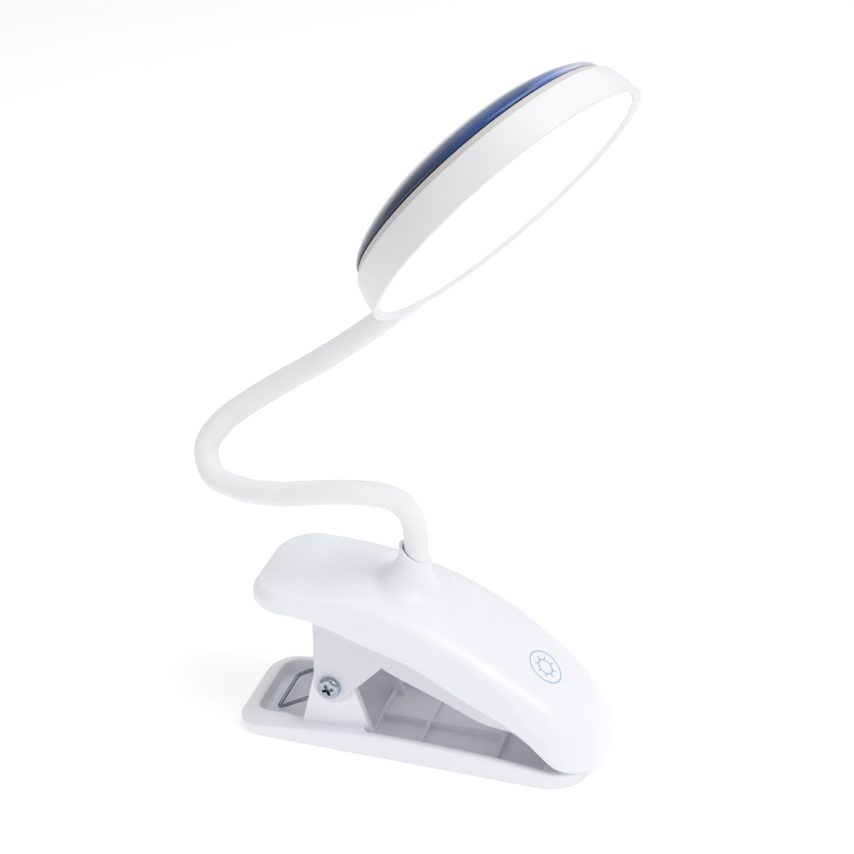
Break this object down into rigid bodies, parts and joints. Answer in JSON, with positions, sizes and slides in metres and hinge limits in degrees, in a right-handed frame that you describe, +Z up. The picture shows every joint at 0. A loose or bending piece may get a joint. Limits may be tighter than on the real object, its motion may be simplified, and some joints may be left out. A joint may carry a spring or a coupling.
{
  "type": "clip on reading lamp",
  "caption": "Clip-on reading lamp: sprung two-jaw clip with touch switch and cell, bendable neck and a round LED head whose domed back has a blue ring round a white cap.",
  "frame": {"origin": "middle of the lower jaw's flat underside", "axes": "+Z up, +X from the finger pad to the jaw tips, +Y towards the charging socket"},
  "size_m": [0.1308, 0.0915, 0.2119],
  "materials": {
    "white_abs": "satin moulded ABS",
    "inner_abs": "fine matt moulded ABS",
    "silicone_sleeve": "soft matt silicone",
    "grip_rubber": "matt rubber",
    "zinc_steel": "zinc plated",
    "spring_wire": "oiled spring steel",
    "brass": "machined",
    "circuit_board": "solder mask",
    "cell_wrap": "foil pouch",
    "clear_acrylic": "polished",
    "opal_diffuser": "satin opal, lit",
    "reflector_white": "gloss white",
    "led_board_white": "white solder mask",
    "blue_acrylic": "polished translucent blue",
    "led_phosphor": "silicone phosphor"
  },
  "bodies": {
    "lower_jaw": {"lower_jaw": "white_abs", "lower_grip_pad": "grip_rubber", "pivot_tube": "zinc_steel", "pivot_screw_left": "zinc_steel", "pivot_screw_right": "zinc_steel", "clip_spring": "spring_wire"},
    "upper_jaw": {"upper_shell": "white_abs", "under_cover": "inner_abs", "upper_grip_pad": "grip_rubber", "spring_arm_left": "spring_wire", "spring_arm_right": "spring_wire", "touch_plate": "brass", "control_board": "circuit_board", "battery_cell": "cell_wrap", "charging_socket": "zinc_steel", "charge_light": "clear_acrylic", "neck_nut": "brass", "cover_screw_1": "zinc_steel", "cover_screw_2": "zinc_steel", "cover_screw_3": "zinc_steel", "cover_screw_4": "zinc_steel", "neck_sleeve_1": "silicone_sleeve", "neck_core_1": "spring_wire"},
    "neck_lower": {"neck_sleeve_2": "silicone_sleeve", "neck_core_2": "spring_wire"},
    "neck_loop": {"neck_sleeve_3": "silicone_sleeve", "neck_core_3": "spring_wire"},
    "neck_upper": {"neck_sleeve_4": "silicone_sleeve", "neck_core_4": "spring_wire"},
    "head": {"neck_sleeve_5": "silicone_sleeve", "neck_core_5": "spring_wire", "head_collar": "white_abs", "head_ring": "white_abs", "diffuser": "opal_diffuser", "reflector": "reflector_white", "led_board": "led_board_white", "rear_frame": "inner_abs", "rear_cover": "blue_acrylic", "rear_cap": "white_abs", "head_screw_1": "zinc_steel", "head_screw_2": "zinc_steel", "head_screw_3": "zinc_steel", "led_1": "led_phosphor", "led_2": "led_phosphor", "led_3": "led_phosphor", "led_4": "led_phosphor", "led_5": "led_phosphor", "led_6": "led_phosphor", "led_7": "led_phosphor", "led_8": "led_phosphor", "led_9": "led_phosphor", "led_10": "led_phosphor", "led_11": "led_phosphor", "led_12": "led_phosphor"}
  },
  "joints": [
    {"name": "jaw_hinge", "type": "hinge", "parent": "lower_jaw", "child": "upper_jaw", "pos_m": [-0.0239, 0, 0.0227], "axis": [0, -1, 0], "range_deg": [0, 26], "stiffness_Nm_per_rad": 0.45, "springref_deg": -68.75},
    {"name": "neck_root_bend", "type": "hinge", "parent": "upper_jaw", "child": "neck_lower", "pos_m": [-0.00245, -0.00003, 0.07051], "axis": [0, 1, 0], "range_deg": [-10, 25]},
    {"name": "neck_side_bend", "type": "hinge", "parent": "neck_lower", "child": "neck_loop", "pos_m": [-0.03411, -0.00769, 0.08252], "axis": [0, 0, 1], "range_deg": [-25, 25]},
    {"name": "neck_loop_bend", "type": "hinge", "parent": "neck_loop", "child": "neck_upper", "pos_m": [-0.06037, 0.00846, 0.09818], "axis": [0, 1, 0], "range_deg": [-25, 25]},
    {"name": "head_tilt", "type": "hinge", "parent": "neck_upper", "child": "head", "pos_m": [-0.0265, 0.02584, 0.12011], "axis": [0.3342, 0.9425, 0.0037], "range_deg": [-28, 28]}
  ]
}
